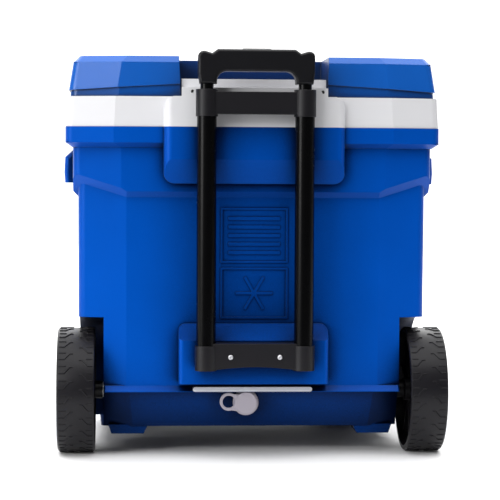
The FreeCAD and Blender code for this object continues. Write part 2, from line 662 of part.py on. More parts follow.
def inner_slider(side):
    """Lock block at the foot of the inner tube, bored for pin and rod."""
    x = side * TUBE_X
    collar = cyl_z(MIDDLE_IN_R - RUN, INNER_Z0 - 6, INNER_Z0, x, TUBE_Y)
    spigot = cyl_z(INNER_IN_R, INNER_Z0 - 1, INNER_Z0 + 22, x, TUBE_Y)
    solid = collar.fuse(spigot)
    solid = solid.cut(cyl_z(2.6, INNER_Z0 + 8, INNER_Z0 + 30, x, TUBE_Y))
    return solid.cut(cyl_x(2.05, min(x, x + side * 12), max(x, x + side * 12), TUBE_Y, INNER_Z0 - 3))


def lock_pin(side):
    x = side * TUBE_X
    ends = sorted((x + side * 3.5, x + side * (MIDDLE_IN_R - 0.2)))
    return cyl_x(2.0, ends[0], ends[1], TUBE_Y, INNER_Z0 - 3)


GRIP_HX = 73.7
GRIP_Z0, GRIP_Z1 = 478.8, 523.3
GRIP_Y0, GRIP_Y1 = TUBE_Y - 12.5, TUBE_Y + 12.3
ARCH_HX = 50.0
ARCH_Z = 494.5
BUTTON_HX = 19.0


GRIP_SCREW_X = 44.0
GRIP_SCREW_Z = 499.5


def grip_outline():
    """U shape seen from the back: two legs, an arch and a raised centre."""
    return [(-GRIP_HX + 2, GRIP_Z0), (-ARCH_HX, GRIP_Z0), (-ARCH_HX, ARCH_Z), (ARCH_HX, ARCH_Z),
            (ARCH_HX, GRIP_Z0), (GRIP_HX - 2, GRIP_Z0), (GRIP_HX, GRIP_Z0 + 14), (GRIP_HX, GRIP_Z1 - 3.3),
            (65, GRIP_Z1 - 3.3), (56, GRIP_Z1 - 6), (49, GRIP_Z1 - 1), (-49, GRIP_Z1 - 1),
            (-56, GRIP_Z1 - 6), (-65, GRIP_Z1 - 3.3), (-GRIP_HX, GRIP_Z1 - 3.3), (-GRIP_HX, GRIP_Z0 + 14)]


def grip_half(front):
    """One clamshell of the U grip, split on the plane of the tubes."""
    y0, y1 = (TUBE_Y, GRIP_Y1) if front else (GRIP_Y0, TUBE_Y)
    solid = prism_y(grip_outline(), y0, y1)
    solid = round_edges(solid, 13, lambda c, a: abs(a.y) > 5 and abs(c.z - ARCH_Z) < 0.1)
    solid = round_edges(solid, 7, lambda c, a: abs(a.y) > 5 and abs(c.x) > GRIP_HX - 0.1 and c.z > 510)
    outer_y = y1 if front else y0
    solid = round_edges(solid, 3.5, lambda c, a: abs(c.y - outer_y) < 0.01 and a.Length > 1)
    for side in (-1, 1):
        x = side * TUBE_X
        solid = solid.cut(cyl_z(INNER_R, GRIP_Z0 - 1, INNER_Z1, x, TUBE_Y))
        solid = solid.cut(cyl_z(3.2, INNER_Z1 - 1, 509.5, x, TUBE_Y))
        solid = solid.cut(cyl_y(1.7, GRIP_Y0 + 3, -200, side * GRIP_SCREW_X, GRIP_SCREW_Z))
        solid = solid.cut(cyl_y(3.6, GRIP_Y1 - 3, GRIP_Y1 + 1, side * GRIP_SCREW_X, GRIP_SCREW_Z))
    well_cut = box(-BUTTON_HX - 0.3, BUTTON_HX + 0.3, TUBE_Y - 8.3, TUBE_Y + 8.3, 501.5, 530)
    yoke_cut = box(-TUBE_X - 3.2, TUBE_X + 3.2, TUBE_Y - 3.2, TUBE_Y + 3.2, 501.5, 511.5)
    spring_cut = fuse_all([cyl_z(3.4, 496.5, 502, s * 11, TUBE_Y) for s in (-1, 1)])
    return solid.cut(fuse_all([well_cut, yoke_cut, spring_cut]))


def grip_screw(side):
    """Sunk screw on the lid side that holds the two grip halves together."""
    x, z = side * GRIP_SCREW_X, GRIP_SCREW_Z
    head = cyl_y(3.4, GRIP_Y1 - 3, GRIP_Y1 - 1, x, z)
    shank = cyl_y(1.65, GRIP_Y0 + 3.5, GRIP_Y1 - 2.5, x, z)
    recess = cyl_y(1.1, GRIP_Y1 - 2.2, GRIP_Y1, x, z)
    return head.fuse(shank).cut(recess)


BUTTON_TRAVEL = 4.0


def release_button():
    """Push button and its yoke, which reaches into both tubes."""
    cap = box(-BUTTON_HX, BUTTON_HX, TUBE_Y - 8, TUBE_Y + 8, 506, GRIP_Z1 + 0.2)
    cap = round_edges(cap, 3, lambda c, a: c.z > GRIP_Z1 - 1)
    yoke = box(-TUBE_X - 2.4, TUBE_X + 2.4, TUBE_Y - 2.4, TUBE_Y + 2.4, 506, 510.5)
    studs = [cyl_z(1.6, 503, 507, s * 11, TUBE_Y) for s in (-1, 1)]
    return fuse_all([cap, yoke] + studs)


def release_rod(side):
    return cyl_z(2.0, INNER_Z0 + 13, 506, side * TUBE_X, TUBE_Y)


SPRING_R = 2.5
SPRING_WIRE = 0.7
SPRING_TURNS = 4.5


def button_spring(side):
    """Compression spring under the button, wound in short straight steps."""
    z0 = 496.6 + 0.5 * SPRING_WIRE
    height = 506.0 - 0.5 * SPRING_WIRE - 0.05 - z0
    steps = 10
    count = int(SPRING_TURNS * steps)
    points = []
    for k in range(count + 1):
        turn = 2 * math.pi * k / steps
        points.append(V(SPRING_R * math.cos(turn), SPRING_R * math.sin(turn), height * k / count))
    path = Part.makePolygon(points)
    circle = Part.Wire(Part.makeCircle(SPRING_WIRE / 2, points[0], points[1] - points[0]))
    coil = path.makePipeShell([circle], True, False, 1)
    coil.translate(V(side * 11, TUBE_Y, z0))
    return coil


def main():
    save("outer_shell", outer_shell())
    save("inner_liner", inner_liner())
    save("top_band", top_band())
    save("foam_insulation", foam_insulation())
    save("lid_shell", lid_shell())
    save("lid_liner", lid_liner())
    save("lid_foam", lid_foam())
    save("drain_spout", drain_spout())
    save("drain_plug", drain_plug())
    save("axle", axle())
    save("ledge_strip", ledge_strip())
    save("upper_bracket", upper_bracket())
    save("lower_bracket", lower_bracket())
    save("lower_bracket_screws", Part.makeCompound([lower_screw(-1), lower_screw(1)]))
    save("grip_screws", Part.makeCompound([grip_screw(-1), grip_screw(1)]))
    save("grip_back", grip_half(False))
    save("grip_front", grip_half(True))
    save("release_button", release_button())
    right_wheel, right_washer, right_nut = wheel(), washer(), push_nut()
    for side, word in ((-1, "left"), (1, "right")):
        save(f"hinge_pin_{word}", hinge_pin(side))
        save(f"wheel_{word}", right_wheel if side > 0 else mirror_x(right_wheel))
        save(f"axle_washer_{word}", right_washer if side > 0 else mirror_x(right_washer))
        save(f"push_nut_{word}", right_nut if side > 0 else mirror_x(right_nut))
        save(f"outer_tube_{word}", tube(side, OUTER_R, OUTER_IN_R, OUTER_Z0, OUTER_Z1))
        save(f"middle_tube_{word}", tube(side, MIDDLE_R, MIDDLE_IN_R, MIDDLE_Z0, MIDDLE_Z1))
        save(f"inner_tube_{word}", tube(side, INNER_R, INNER_IN_R, INNER_Z0, INNER_Z1))
        save(f"outer_bush_{word}", outer_bush(side))
        save(f"middle_bush_{word}", middle_bush(side))
        save(f"middle_slider_{word}", middle_slider(side))
        save(f"lock_block_{word}", inner_slider(side))
        save(f"lock_pin_{word}", lock_pin(side))
        save(f"release_rod_{word}", release_rod(side))
        save(f"button_spring_{word}", button_spring(side))


main()
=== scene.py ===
# %% [markdown]
# # A wheeled cooler, built as a lesson
#
# The subject is an insulated hard cooler on two wheels, seen from its handle
# side.  Everything is in metres in one frame: +Z is up, -Y is the handle side
# and the ground is z = 0.  The mechanical parts arrive as finished solids, and
# this file gives them real finishes, adds the moulded detail that solids
# leave out, and lights the result like a small product set.

# %% Load the frame
import json
import math

import bmesh
import bpy
from mathutils import Matrix, Vector


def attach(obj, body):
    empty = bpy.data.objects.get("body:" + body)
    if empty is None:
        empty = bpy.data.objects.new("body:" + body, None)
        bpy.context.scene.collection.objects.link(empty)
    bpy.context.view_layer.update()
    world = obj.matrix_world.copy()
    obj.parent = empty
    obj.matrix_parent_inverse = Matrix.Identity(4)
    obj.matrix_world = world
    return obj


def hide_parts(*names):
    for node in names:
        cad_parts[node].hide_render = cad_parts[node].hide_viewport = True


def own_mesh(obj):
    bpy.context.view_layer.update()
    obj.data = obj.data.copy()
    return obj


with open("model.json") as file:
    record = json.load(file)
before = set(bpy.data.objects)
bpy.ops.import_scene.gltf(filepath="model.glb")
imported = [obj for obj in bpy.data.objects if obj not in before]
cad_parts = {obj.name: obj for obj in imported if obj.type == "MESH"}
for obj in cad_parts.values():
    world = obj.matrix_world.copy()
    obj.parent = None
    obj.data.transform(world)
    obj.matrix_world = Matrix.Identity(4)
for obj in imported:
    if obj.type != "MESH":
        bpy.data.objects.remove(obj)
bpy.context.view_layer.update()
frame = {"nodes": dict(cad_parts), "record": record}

nodes = frame["nodes"]

# %% [markdown]
# ## Camera
#
# A long lens from about two and a half metres keeps the sides nearly
# parallel, the way catalogue cameras do.  The camera stands a little to the
# left of the middle, lower than the lid and higher than the wheels, and it
# tips down slightly, so the low ledge shows its top.

# %% Camera
LENS_MM = 135.4
CAMERA_AT = Vector((-0.162, -2.596, 0.365))
CAMERA_YAW = math.radians(3.74)
CAMERA_PITCH = math.radians(-2.3)
CAMERA_ROLL = math.radians(0.3)
SENSOR_MM = 36.0

camera_data = bpy.data.cameras.new("camera")
camera_data.lens = LENS_MM
camera_data.sensor_width = SENSOR_MM
camera = bpy.data.objects.new("camera", camera_data)
turn = Matrix.Rotation(-CAMERA_YAW, 4, "Z")
tip = Matrix.Rotation(math.pi / 2 + CAMERA_PITCH, 4, "X")
roll = Matrix.Rotation(CAMERA_ROLL, 4, "Z")
camera.matrix_world = Matrix.Translation(CAMERA_AT) @ (turn @ tip) @ roll
bpy.context.scene.collection.objects.link(camera)
bpy.context.scene.camera = camera
print("camera at", [round(v, 3) for v in CAMERA_AT])

# %% [markdown]
# ## Small helpers
#
# Colours are written as the hex values a paint chart would give and turned
# into the linear light values that a renderer adds up.  One function places
# any shader node, sets its values and joins its links, so a material reads
# like a recipe.  A colour ramp takes its stops as one of the settings.

# %% Colour and shader helpers
MM = 0.001


def linear(hex_code):
    """sRGB hex to linear RGBA."""
    channels = [int(hex_code[i:i + 2], 16) / 255 for i in (0, 2, 4)]
    return [c / 12.92 if c <= 0.04045 else ((c + 0.055) / 1.055) ** 2.4 for c in channels] + [1.0]


def grey(value):
    """A plain value written as a colour, for ramps that feed roughness."""
    return [value, value, value, 1.0]


def scaled(colour, factor):
    """The same hue, lighter or darker."""
    return [min(1.0, c * factor) for c in colour[:3]] + [1.0]


def add(tree, kind, settings=None, links=None):
    """Add one shader node, set its values and link its inputs."""
    node = tree.nodes.new(kind)
    for key, value in (settings or {}).items():
        if key == "stops":
            elements = node.color_ramp.elements
            while len(elements) < len(value):
                elements.new(0.5)
            for element, (position, colour) in zip(elements, value):
                element.position = position
                element.color = colour
        elif isinstance(key, str) and hasattr(node, key):
            setattr(node, key, value)
        else:
            node.inputs[key].default_value = value
    for key, source in (links or {}).items():
        tree.links.new(source, node.inputs[key])
    return node


def new_material(name):
    """An empty shader tree with the given name."""
    material = bpy.data.materials.new(name)
    material.use_nodes = True
    material.node_tree.nodes.clear()
    return material, material.node_tree


bpy.context.scene.view_settings.view_transform = "Standard"
print("shell blue in linear light:", [round(c, 3) for c in linear("004CB0")[:3]])

# %% [markdown]
# ## Moulded plastics
#
# Blow-moulded polyethylene copies the leather grain that is etched in its
# mould.  The cells are about a millimetre wide, so up close they break the
# highlight into a soft satin, and from a distance they only widen it.  The
# recipe below layers three scales: a slow drift of the pigment over the whole
# wall, scuffs a few centimetres long that change the gloss, and the grain
# itself as a bump.  A bevel in the normal rounds every edge a little, as a
# mould does.  Pigmented polyethylene has an index near 1.5; the reflection is
# turned down because the fine pores of the grain shade one another.
#
# Two of the controls are choices of look and not properties of the plastic.
# Recesses are darkened by an ambient-occlusion factor, more strongly than the
# lights alone would do.  The blue skin's reflection is tinted blue, where
# plain plastic would reflect the light untinted, so its highlights stay deep.

# %% Moulded plastic
PLASTIC_INDEX = 1.5
CLOUDS_PER_METRE = 9.0     # pigment drift in patches about 110 mm across
SCUFFS_PER_METRE = 30.0    # rubbed patches about 30 mm across
GRAIN_HEIGHT_MM = 0.3
RECESS_REACH_MM = 140
RECESS_DEEP = 0.45         # a point this closed in is darkened fully
RECESS_OPEN = 0.93         # and one this open is not darkened at all


def moulded_plastic(name, colour, rough, grain_mm=0.9, grain_depth=0.12, drift=0.06,
                    edge_mm=1.2, reflect=0.35, tint="FFFFFF", recess=1.0):
    """Satin moulded plastic: etched grain, colour drift, rounded edges, painted shade in recesses."""
    material, tree = new_material(name)
    base = linear(colour)
    where = add(tree, "ShaderNodeTexCoord").outputs["Object"]
    clouds = add(tree, "ShaderNodeTexNoise", {"Scale": CLOUDS_PER_METRE, "Detail": 3.0}, {"Vector": where})
    shade = add(tree, "ShaderNodeValToRGB",
                {"stops": [(0.3, scaled(base, 1 - drift)), (0.7, scaled(base, 1 + drift))]},
                {"Fac": clouds.outputs["Fac"]})
    # Painted shade: an ambient-occlusion factor darkens the colour in recesses and undersides, down to the
    # recess share in the deepest ones.
    openness = add(tree, "ShaderNodeAmbientOcclusion", {"samples": 8, "Distance": RECESS_REACH_MM * MM})
    painted_recess_shade = add(tree, "ShaderNodeValToRGB",
                    {"stops": [(RECESS_DEEP, grey(recess)), (RECESS_OPEN, grey(1.0))]},
                    {"Fac": openness.outputs["AO"]})
    pigment_and_painted_shade = add(tree, "ShaderNodeMix", {"data_type": "RGBA", "blend_type": "MULTIPLY", 0: 1.0},
                  {6: shade.outputs["Color"], 7: painted_recess_shade.outputs["Color"]})
    cells = add(tree, "ShaderNodeTexVoronoi",
                {"Scale": 1 / (grain_mm * MM), "feature": "SMOOTH_F1", "Smoothness": 0.6},
                {"Vector": where})
    fine = add(tree, "ShaderNodeTexNoise", {"Scale": 2.2 / (grain_mm * MM), "Detail": 2.0},
               {"Vector": where})
    height = add(tree, "ShaderNodeMath", {"operation": "ADD"},
                 {0: cells.outputs["Distance"], 1: fine.outputs["Fac"]})
    rounded = add(tree, "ShaderNodeBevel", {"samples": 4, "Radius": edge_mm * MM})
    bump = add(tree, "ShaderNodeBump", {"Strength": grain_depth, "Distance": GRAIN_HEIGHT_MM * MM},
               {"Height": height.outputs["Value"], "Normal": rounded.outputs["Normal"]})
    scuffs = add(tree, "ShaderNodeTexNoise", {"Scale": SCUFFS_PER_METRE, "Detail": 6.0, "Roughness": 0.65},
                 {"Vector": where})
    gloss = add(tree, "ShaderNodeValToRGB",
                {"stops": [(0.3, grey(rough - 0.02)), (0.75, grey(rough + 0.03))]},
                {"Fac": scuffs.outputs["Fac"]})
    shader = add(tree, "ShaderNodeBsdfPrincipled",
                 {"IOR": PLASTIC_INDEX, "Specular IOR Level": reflect, "Specular Tint": linear(tint)},
                 {"Base Color": pigment_and_painted_shade.outputs[2], "Roughness": gloss.outputs["Color"],
                  "Normal": bump.outputs["Normal"]})
    add(tree, "ShaderNodeOutputMaterial", links={"Surface": shader.outputs["BSDF"]})
    return material


# Deep royal blue with a satin grain: the eye reads a tough, coloured-through skin.
# On the shell, recess=0.02 paints deep recesses and the undersides nearly black: painted shade.
BLUE = moulded_plastic("blue_blow_moulded_polyethylene", "004CB0", 0.32, reflect=0.38, tint="5C90FF",
                      recess=0.02)
# The lid comes from its own mould with a shinier grain, so it catches a pale sheen.
LID_BLUE = moulded_plastic("blue_satin_lid_polyethylene", "0059B8", 0.31, reflect=0.62, tint="E0ECFF",
                           recess=0.10)
# Smoother and nearly neutral white: a food-safe liner that wipes clean.
WHITE = moulded_plastic("white_injection_moulded_polypropylene", "DFDFE2", 0.36, grain_depth=0.05,
                        drift=0.008, reflect=0.4, recess=0.95)
# Glass fibre in nylon gives structural black parts a dull, slightly mottled look.
NYLON = moulded_plastic("black_glass_filled_nylon", "141317", 0.40, grain_mm=0.6, drift=0.15, reflect=0.3)
# The hand piece has a finer grain and a little more shine from the mould.
GRIP = moulded_plastic("black_fine_grained_abs", "0D0D11", 0.36, grain_mm=0.45, reflect=0.3)
# Soft thermoplastic looks slightly violet-grey and milky.
GREY = moulded_plastic("grey_soft_thermoplastic", "A7A1AB", 0.42, grain_depth=0.05, drift=0.03)
# The wheels are blow moulded and uneven in tone, with a low satin sheen.
WHEEL = moulded_plastic("black_blow_moulded_wheel_polyethylene", "141317", 0.36, grain_mm=0.8, drift=0.2,
                        reflect=0.22, edge_mm=0.5)
# Powder coat is a thin baked film, smooth but with a faint orange peel.
TUBE = moulded_plastic("black_powder_coat_on_steel_tube", "020203", 0.26, grain_mm=1.6, grain_depth=0.06,
                       edge_mm=0.3, reflect=0.14)
# Cut foam is all broken cells: no shine and a strong fine texture.
FOAM = moulded_plastic("cut_polyurethane_foam", "E9DFA8", 0.9, grain_mm=0.5, grain_depth=0.6,
                       reflect=0.1)
print("plastics:", [m.name for m in (BLUE, LID_BLUE, WHITE, NYLON, GRIP, GREY, WHEEL, TUBE, FOAM)])

# %% [markdown]
# ## Metals
#
# Drawn bar and wire carry fine lines along their length from the die, and
# the zinc plating over them is bright but not mirror-like.  Noise stretched
# along one axis gives those lines; the same noise varies the roughness, so
# highlights break up along the bar.  The metal keeps the default index.

# %% Plated and drawn steel
LINES_PER_METRE = 60.0     # along the bar, so each line is about 17 mm long
PIT_MM = 0.05              # depth of the fine relief in plating
STEEL_EDGE_MM = 0.3


def drawn_steel(name, colour, rough, along=0, line_mm=0.4):
    """Metal with fine lines along one axis (0 is X, 1 is Y, 2 is Z)."""
    material, tree = new_material(name)
    stretch = [1 / (line_mm * MM)] * 3
    stretch[along] = LINES_PER_METRE
    where = add(tree, "ShaderNodeTexCoord").outputs["Object"]
    lines_at = add(tree, "ShaderNodeMapping", {"Scale": stretch}, {"Vector": where})
    lines = add(tree, "ShaderNodeTexNoise", {"Scale": 1.0, "Detail": 3.0},
                {"Vector": lines_at.outputs["Vector"]})
    rounded = add(tree, "ShaderNodeBevel", {"samples": 4, "Radius": STEEL_EDGE_MM * MM})
    bump = add(tree, "ShaderNodeBump", {"Strength": 0.15, "Distance": PIT_MM * MM},
               {"Height": lines.outputs["Fac"], "Normal": rounded.outputs["Normal"]})
    gloss = add(tree, "ShaderNodeValToRGB",
                {"stops": [(0.3, grey(rough - 0.05)), (0.7, grey(rough + 0.08))]},
                {"Fac": lines.outputs["Fac"]})
    shader = add(tree, "ShaderNodeBsdfPrincipled", {"Metallic": 1.0, "Base Color": linear(colour)},
                 {"Roughness": gloss.outputs["Color"], "Normal": bump.outputs["Normal"]})
    add(tree, "ShaderNodeOutputMaterial", links={"Surface": shader.outputs["BSDF"]})
    return material


# Plating over a drawn bar: bright, with lines that run along X.
PLATED = drawn_steel("zinc_plated_drawn_bar", "D4D8E0", 0.30)
# Plated screw heads are paler, with a softer highlight.
BRIGHT = drawn_steel("bright_zinc_plated_screw", "E2E2E6", 0.42, along=1)
# Spring wire is darker, with a tighter highlight.
SPRING = drawn_steel("drawn_spring_wire", "A8A9AB", 0.25, along=2)
print("metals:", [m.name for m in (PLATED, BRIGHT, SPRING)])

# %% [markdown]
# ## The strip in the ledge
#
# A thin pale line runs over the drain and is drawn as a near-white strip.  A mirror-like bar there would
# mostly show its dark surroundings.  This finish has a low metal share and a rough surface, which keeps
# the strip pale.

# %% Satin strip and the list of finishes
GRIT_MM = 0.6


def satin_bar(name, colour, rough, metal_share):
    """A pale strip with a satin finish: fine pits scatter most of the mirror light."""
    material, tree = new_material(name)
    where = add(tree, "ShaderNodeTexCoord").outputs["Object"]
    pits = add(tree, "ShaderNodeTexNoise", {"Scale": 1 / (GRIT_MM * MM), "Detail": 4.0}, {"Vector": where})
    shade = add(tree, "ShaderNodeValToRGB",
                {"stops": [(0.3, scaled(linear(colour), 0.94)), (0.7, linear(colour))]},
                {"Fac": pits.outputs["Fac"]})
    bump = add(tree, "ShaderNodeBump", {"Strength": 0.2, "Distance": PIT_MM * MM},
               {"Height": pits.outputs["Fac"]})
    shader = add(tree, "ShaderNodeBsdfPrincipled", {"Metallic": metal_share, "Roughness": rough},
                 {"Base Color": shade.outputs["Color"], "Normal": bump.outputs["Normal"]})
    add(tree, "ShaderNodeOutputMaterial", links={"Surface": shader.outputs["BSDF"]})
    return material


# An even, cool pale grey with a soft highlight.
STRIP = satin_bar("pale_satin_strip", "F4F6FC", 0.5, 0.25)

FINISH = {
    "blue_shell": BLUE, "blue_lid": LID_BLUE, "white_liner": WHITE, "foam": FOAM, "grey_drain": GREY,
    "axle_steel": PLATED, "screw_steel": BRIGHT, "spring_steel": SPRING, "black_bracket": NYLON,
    "black_grip": GRIP, "button_plastic": GRIP, "wheel_plastic": WHEEL, "tube_black": TUBE,
    "bush_plastic": NYLON,
}
slot_of = {entry["node"]: entry["material_slot"] for entry in frame["record"]["subparts"]}
for name, piece in nodes.items():
    piece.data.materials.clear()
    piece.data.materials.append(STRIP if name == "ledge_strip" else FINISH[slot_of[name]])
print("finished nodes:", len(nodes))

# %% [markdown]
# ## Wheels
#
# Each wheel is one hollow blow moulding: a broad tyre-like rim, a recessed
# web outside and ribs inside.  Its tread is only raised lines in the mould,
# two rows of cranked bars with a plain band between them.  A spun profile
# gives the body.  The bars are then laid on it as low ridges with sloping
# sides, because a mould can't release straight ones.

# %% Mesh helpers
WELD_MM = 0.01
SHARP_ABOVE = math.radians(35)


def mesh_object(name, bm, material):
    """Turn a bmesh into a scene object with soft faces and crisp corners."""
    bmesh.ops.remove_doubles(bm, verts=bm.verts, dist=WELD_MM * MM)
    bmesh.ops.recalc_face_normals(bm, faces=bm.faces)
    mesh = bpy.data.meshes.new(name)
    bm.to_mesh(mesh)
    bm.free()
    mesh.polygons.foreach_set("use_smooth", [True] * len(mesh.polygons))
    mesh.set_sharp_from_angle(angle=SHARP_ABOVE)
    mesh.materials.append(material)
    piece = bpy.data.objects.new(name, mesh)
    bpy.context.scene.collection.objects.link(piece)
    return piece


def spin(bm, profile, to_point, steps):
    """Join a closed profile of (position, radius) pairs round an axis."""
    rings = []
    for k in range(steps):
        angle = 2 * math.pi * k / steps
        rings.append([bm.verts.new(to_point(at, radius, angle)) for at, radius in profile])
    count = len(profile)
    for k in range(steps):
        this, after = rings[k], rings[(k + 1) % steps]
        for i in range(count):
            j = (i + 1) % count
            bm.faces.new((this[i], this[j], after[j], after[i]))

# %% Wheel body and tread
AXLE = Vector((0.0, -126.0, 82.0)) * MM
WHEEL_IN = 203.5
WHEEL_OUT = 252.0
HUB_IN = 193.6             # the hub reaches in past the rim, towards the body
TREAD_TOP = 82.0
TREAD_BASE = 80.9
TREAD_FOOT = TREAD_BASE - 0.4      # ridges start a little inside the rim
TREAD_BARS = 26
BAR_WIDTH = 2.2
CREST_HALF = 0.22          # half the crest, as a share of a ridge's width
STUB_DROP = 0.2            # the short bars stand slightly lower
WHEEL_RIBS = 10
WHEEL_STEPS = 120


def wheel_point(side, x, radius, angle):
    """A point on the wheel, from millimetres and an angle about the axle."""
    return (side * x * MM, AXLE.y + radius * math.sin(angle) * MM, AXLE.z + radius * math.cos(angle) * MM)


def lay_ridge(bm, side, path, foot, top, width):
    """Raise a sloping-sided ridge along a path of (x, distance round) points."""
    sections = []
    for i, (x, s) in enumerate(path):
        before = path[max(i - 1, 0)]
        after = path[min(i + 1, len(path) - 1)]
        along = Vector((after[0] - before[0], after[1] - before[1])).normalized()
        across = Vector((-along.y, along.x))
        section = []
        for offset, radius in ((-0.5, foot), (-CREST_HALF, top), (CREST_HALF, top), (0.5, foot)):
            where = Vector((x, s)) + across * offset * width
            section.append(bm.verts.new(wheel_point(side, where.x, radius, where.y / TREAD_TOP)))
        sections.append(section)
    for this, after in zip(sections, sections[1:]):
        for i in range(3):
            bm.faces.new((this[i], this[i + 1], after[i + 1], after[i]))
    bm.faces.new(sections[0])
    bm.faces.new(sections[-1])


def wheel_body(bm, side):
    """Spin the section: rim, rolled outer edge, web, hub, sleeve, then back inside."""
    x0, x1 = WHEEL_IN, WHEEL_OUT
    rim = [(x0, 75), (x0, 79.6), (x0 + 0.8, 80.6), (x0 + 2.5, TREAD_BASE), (x1 - 3.5, TREAD_BASE),
           (x1 - 1.4, 80.2), (x1 - 0.3, 78.6), (x1, 76.5), (x1, 71), (x1 - 1.4, 68.5)]
    web = [(x1 - 6, 64.5), (x1 - 7, 61), (x1 - 8, 28), (x1 - 6.6, 24.5)]
    hub = [(x1 - 3.6, 21.6), (x1 - 3, 20), (x1 - 3, 4.6), (HUB_IN, 4.6), (HUB_IN, 11.5), (x0, 11.5)]
    inside = [(x0 + 2, 15), (x1 - 12, 16), (x1 - 12, 64), (x1 - 10, 72)]
    spin(bm, rim + web + hub + inside, lambda x, r, a: wheel_point(side, x, r, a), WHEEL_STEPS)


def wheel_rib(bm, side, turn):
    """One web rib inside the rim, thinner at its open edge."""
    thick, thin = 1.7, 1.2
    corners = [(WHEEL_OUT - 9, 14, thick), (WHEEL_OUT - 9, 76, thick),
               (WHEEL_IN + 8, 77, thin), (WHEEL_IN + 8, 14, thin)]
    faces = []
    for hand in (-1, 1):
        faces.append([bm.verts.new(wheel_point(side, x, radius, turn + hand * half / radius))
                      for x, radius, half in corners])
    bm.faces.new(faces[0])
    bm.faces.new(faces[1])
    for i in range(4):
        j = (i + 1) % 4
        bm.faces.new((faces[0][i], faces[0][j], faces[1][j], faces[1][i]))


def wheel_tread(bm, side):
    """Two rows of cranked bars, half a step apart, with short stubs between them."""
    step = 2 * math.pi * TREAD_TOP / TREAD_BARS
    crank = 0.42 * step
    for k in range(TREAD_BARS):
        s = k * step
        half = s + 0.5 * step
        outer = [(249, s), (242, s), (235, s + crank), (231, s + crank)]
        inner = [(206, half), (212, half), (219, half + crank), (223, half + crank)]
        lay_ridge(bm, side, outer, TREAD_FOOT, TREAD_TOP, BAR_WIDTH)
        lay_ridge(bm, side, inner, TREAD_FOOT, TREAD_TOP, BAR_WIDTH)
        for stub in ([(249, half), (240, half)], [(206, s), (214, s)]):
            lay_ridge(bm, side, stub, TREAD_FOOT, TREAD_TOP - STUB_DROP, BAR_WIDTH)


for side, word, letter in ((-1, "left", "l"), (1, "right", "r")):
    bm = bmesh.new()
    wheel_body(bm, side)
    for k in range(WHEEL_RIBS):
        wheel_rib(bm, side, 2 * math.pi * k / WHEEL_RIBS)
    wheel_tread(bm, side)
    wheel = mesh_object(f"treaded_wheel_{word}", bm, WHEEL)
    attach(wheel, f"wheel_{letter}")
    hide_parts(f"wheel_{word}")
    print(wheel.name, "faces", len(wheel.data.polygons))

# %% [markdown]
# ## Bracket screws
#
# Two pan-head screws hold the lower bracket.  A rolled head is a low dome
# with a small radius at its rim and a six-sided socket that looks dark
# because little light gets back out of it.

# %% Screws
SCREW_X = 31.2
SCREW_Z = 134.0
SCREW_FACE = -231.3        # the bracket face, in millimetres
SOCKET = 1.35              # half the width across the flats
SIX_SIDED = -1.0           # marks a profile point that follows the socket's flats
NEAR_AXIS = 0.02
SCREW_STEPS = 48


def screw_point(x, y, radius, angle):
    """A point on the screw at x, from millimetres and an angle about its axis."""
    return ((x + radius * math.cos(angle)) * MM, y * MM, (SCREW_Z + radius * math.sin(angle)) * MM)


def pan_screw(bm, x):
    """Spin the head and shank, with flats inside the socket."""
    head = [(0.4, 3.1), (-0.6, 3.2), (-1.4, 2.9), (-1.9, 2.3), (-2.15, 1.7)]
    socket = [(-2.1, SIX_SIDED), (-0.9, SIX_SIDED), (-0.9, NEAR_AXIS)]
    shank = [(36, NEAR_AXIS), (36, 1.4), (34, 2.0), (0.4, 2.05)]

    def place(at, radius, angle):
        if radius < 0:
            radius = SOCKET / math.cos((angle % (math.pi / 3)) - math.pi / 6)
        return screw_point(x, SCREW_FACE + at, radius, angle)

    spin(bm, head + socket + shank, place, SCREW_STEPS)


bm = bmesh.new()
for side in (-1, 1):
    pan_screw(bm, side * SCREW_X)
screws = mesh_object("pan_head_screws", bm, BRIGHT)
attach(screws, "body")
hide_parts("lower_bracket_screws")
print("screws:", len(screws.data.polygons), "faces")

# %% [markdown]
# ## Button springs
#
# Two small compression springs push the release button back up.  Cold-wound wire has a round section all
# along, so a ring of points is carried round a helix.

# %% Button springs
COIL_X = 11.0
COIL_Y = -222.3
COIL_SEAT_Z = 496.6
COIL_TOP_Z = 505.9
COIL_R = 2.5
WIRE_R = 0.35
COIL_TURNS = 4.5
COIL_STEPS = 24            # sections of wire in one turn
WIRE_SIDES = 8


def wind_coil(bm, x):
    """Sweep a round wire along a helix and cap both ends."""
    count = int(COIL_TURNS * COIL_STEPS)
    low, high = COIL_SEAT_Z + WIRE_R, COIL_TOP_Z - WIRE_R
    rings = []
    for k in range(count + 1):
        turn = 2 * math.pi * k / COIL_STEPS
        outward = Vector((math.cos(turn), math.sin(turn), 0))
        centre = Vector((x, COIL_Y, low + (high - low) * k / count)) + outward * COIL_R
        ring = []
        for i in range(WIRE_SIDES):
            angle = 2 * math.pi * i / WIRE_SIDES
            point = centre + (outward * math.cos(angle) + Vector((0, 0, 1)) * math.sin(angle)) * WIRE_R
            ring.append(bm.verts.new(point * MM))
        rings.append(ring)
    for this, after in zip(rings, rings[1:]):
        for i in range(WIRE_SIDES):
            j = (i + 1) % WIRE_SIDES
            bm.faces.new((this[i], this[j], after[j], after[i]))
    bm.faces.new(rings[0])
    bm.faces.new(rings[-1])


for side, word in ((-1, "left"), (1, "right")):
    bm = bmesh.new()
    wind_coil(bm, side * COIL_X)
    coil = mesh_object(f"wound_button_spring_{word}", bm, SPRING)
    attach(coil, "inner_stage")
    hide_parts(f"button_spring_{word}")
    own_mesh(coil)
    print(coil.name, "faces", len(coil.data.polygons))
